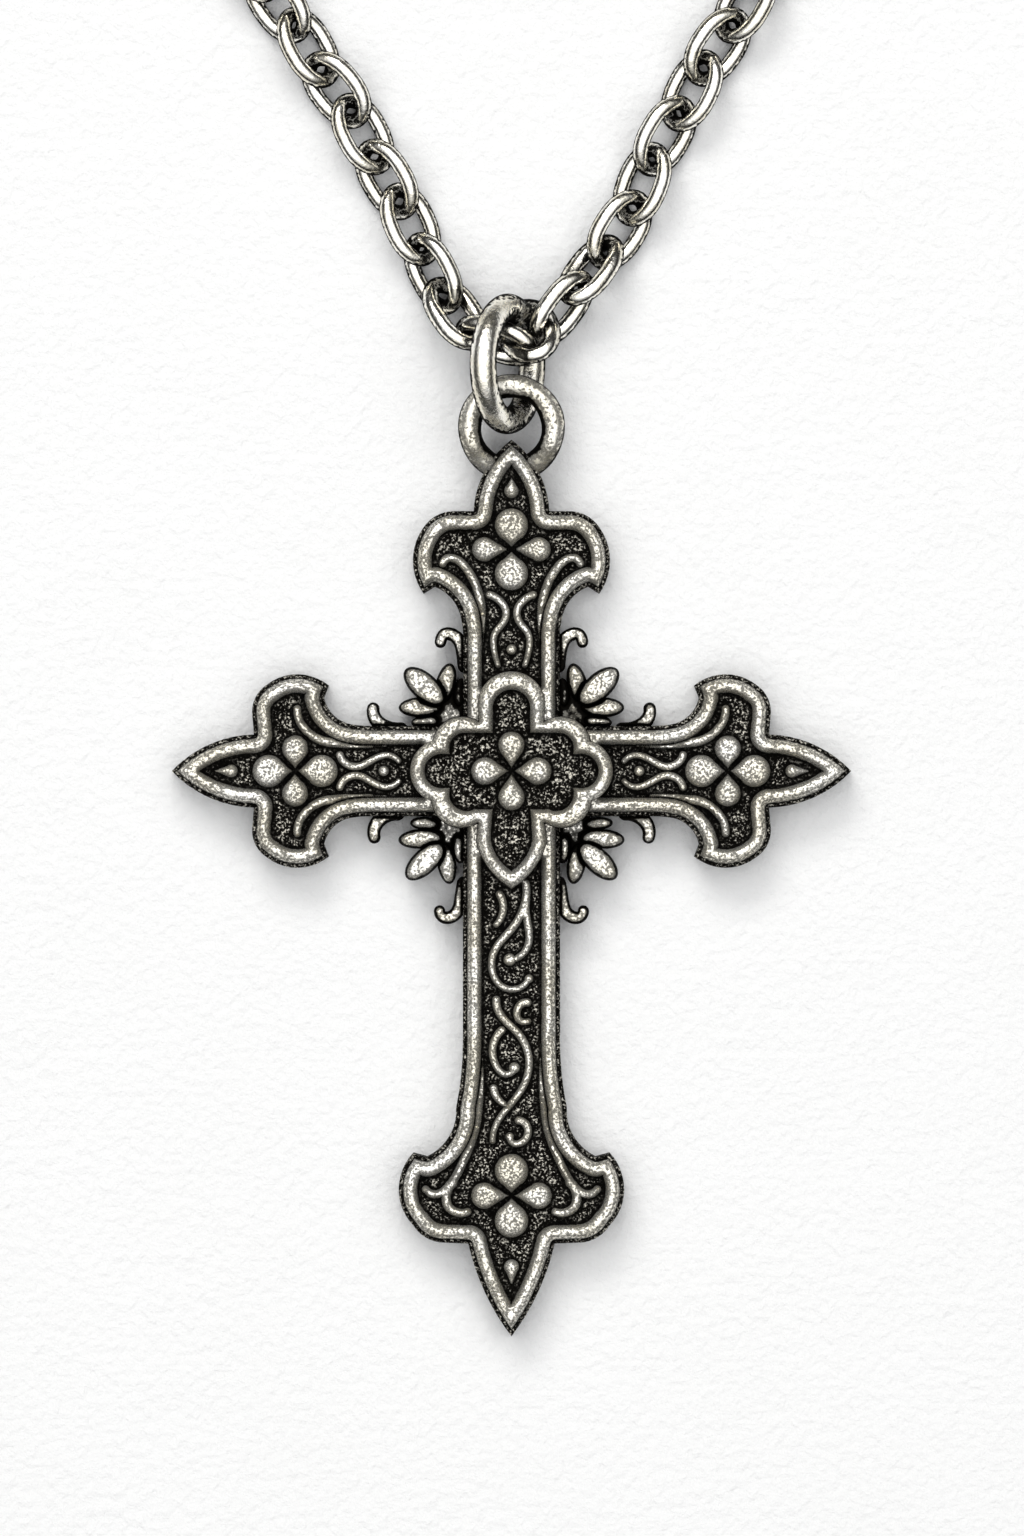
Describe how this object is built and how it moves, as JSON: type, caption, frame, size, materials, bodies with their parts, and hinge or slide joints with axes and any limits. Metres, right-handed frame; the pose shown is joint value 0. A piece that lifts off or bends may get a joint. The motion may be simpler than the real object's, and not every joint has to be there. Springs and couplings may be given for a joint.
{
  "type": "cross pendant necklace",
  "caption": "Flat ornamental cross pendant with flared pointed ends and floral relief, hung by a bail and jump ring on a cable-link chain closed by a spring-lever clasp.",
  "frame": {"origin": "on the flat back of the cross, under the middle of the centre boss", "axes": "+Z out of the face, +Y towards the top point and the chain, +X towards the right arm as seen from the face"},
  "size_m": [0.042, 0.1196, 0.0073],
  "materials": {
    "cast_ground": "stippled cast silver, black patina in the hollows",
    "relief_silver": "worn antique silver, bright on the crests, dark at the foot",
    "petal_silver": "worn antique silver, speckled grain",
    "leaf_silver": "worn antique silver with dark grooves",
    "bail_silver": "cast antique silver, grainy",
    "ring_silver": "smooth drawn wire, light patina",
    "chain_silver": "polished drawn wire, dark where links meet",
    "clasp_silver": "polished cast clasp",
    "spring_steel": "bright spring wire"
  },
  "bodies": {
    "pendant": {"arm_curls": "leaf_silver", "bail": "bail_silver", "border_rim": "relief_silver", "boss_flower": "petal_silver", "boss_plate": "cast_ground", "boss_rim": "relief_silver", "bottom_flower": "petal_silver", "bottom_point_drop": "relief_silver", "bottom_volutes": "relief_silver", "clasp_body": "clasp_silver", "clasp_pin": "clasp_silver", "clasp_spring": "spring_steel", "cross_plate": "cast_ground", "left_coil": "chain_silver", "left_flower": "petal_silver", "left_point_drop": "relief_silver", "left_strand": "chain_silver", "left_tail": "chain_silver", "left_tendrils": "relief_silver", "left_volutes": "relief_silver", "lower_left_leaves": "leaf_silver", "lower_right_leaves": "leaf_silver", "right_coil": "chain_silver", "right_flower": "petal_silver", "right_point_drop": "relief_silver", "right_strand": "chain_silver", "right_tail": "chain_silver", "right_tendrils": "relief_silver", "right_volutes": "relief_silver", "shaft_curls": "leaf_silver", "shaft_vine": "relief_silver", "top_flower": "petal_silver", "top_point_drop": "relief_silver", "top_tendrils": "relief_silver", "top_volutes": "relief_silver", "upper_curls": "leaf_silver", "upper_left_leaves": "leaf_silver", "upper_right_leaves": "leaf_silver"},
    "jump_ring": {"jump_ring": "ring_silver", "centre_link": "chain_silver"},
    "clasp_lever": {"clasp_lever": "clasp_silver"},
    "end_ring": {"end_ring": "ring_silver"},
    "clasp_ring": {"clasp_ring": "ring_silver"}
  },
  "joints": [
    {"name": "jump_ring_swing", "type": "hinge", "parent": "pendant", "child": "jump_ring", "pos_m": [0, 0.02154, 0.00275], "axis": [1, 0, 0], "range_deg": [0, 20]},
    {"name": "clasp_lever_hinge", "type": "hinge", "parent": "pendant", "child": "clasp_lever", "pos_m": [-0.00009, 0.05863, 0.0018], "axis": [0, 0, -1], "range_deg": [0, 13], "stiffness_Nm_per_rad": 0.002, "springref_deg": -11.46},
    {"name": "end_ring_turn", "type": "hinge", "parent": "pendant", "child": "end_ring", "pos_m": [0.0036, 0.0573, 0.0018], "axis": [0, 1, 0], "continuous": true},
    {"name": "clasp_ring_turn", "type": "hinge", "parent": "pendant", "child": "clasp_ring", "pos_m": [-0.0049, 0.0573, 0.0018], "axis": [0, 1, 0], "continuous": true}
  ]
}
